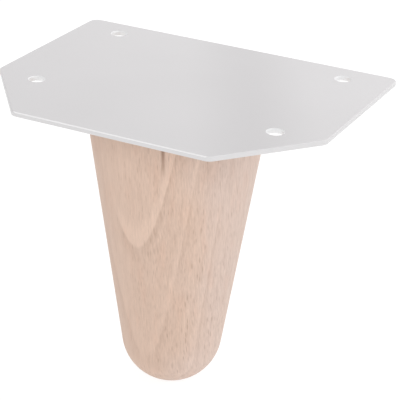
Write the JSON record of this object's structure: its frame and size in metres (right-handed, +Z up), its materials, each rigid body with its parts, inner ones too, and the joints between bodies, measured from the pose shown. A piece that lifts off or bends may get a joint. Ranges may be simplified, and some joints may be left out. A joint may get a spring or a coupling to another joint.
{
  "type": "wooden furniture leg",
  "caption": "Conical wooden furniture leg with a round end, screwed under a flat sheet-metal mounting plate with cut front corners and screw holes.",
  "frame": {"origin": "centre of the mounting plate's top face, on the leg's axis", "axes": "+Z up, along the leg's axis towards the furniture; +X along the plate's long edges; the front, with the cut corners, is -Y"},
  "size_m": [0.11, 0.085, 0.1],
  "materials": {
    "white_powder_coat": "matt powder coat with a fine orange-peel texture",
    "beech": "sanded, bare or matt-oiled, grain running along the leg",
    "zinc_plated_steel": "bright zinc plating"
  },
  "bodies": {
    "root": {"mounting_plate": "white_powder_coat", "wooden_leg": "beech", "weld_stud": "zinc_plated_steel", "threaded_insert": "zinc_plated_steel"}
  },
  "joints": []
}
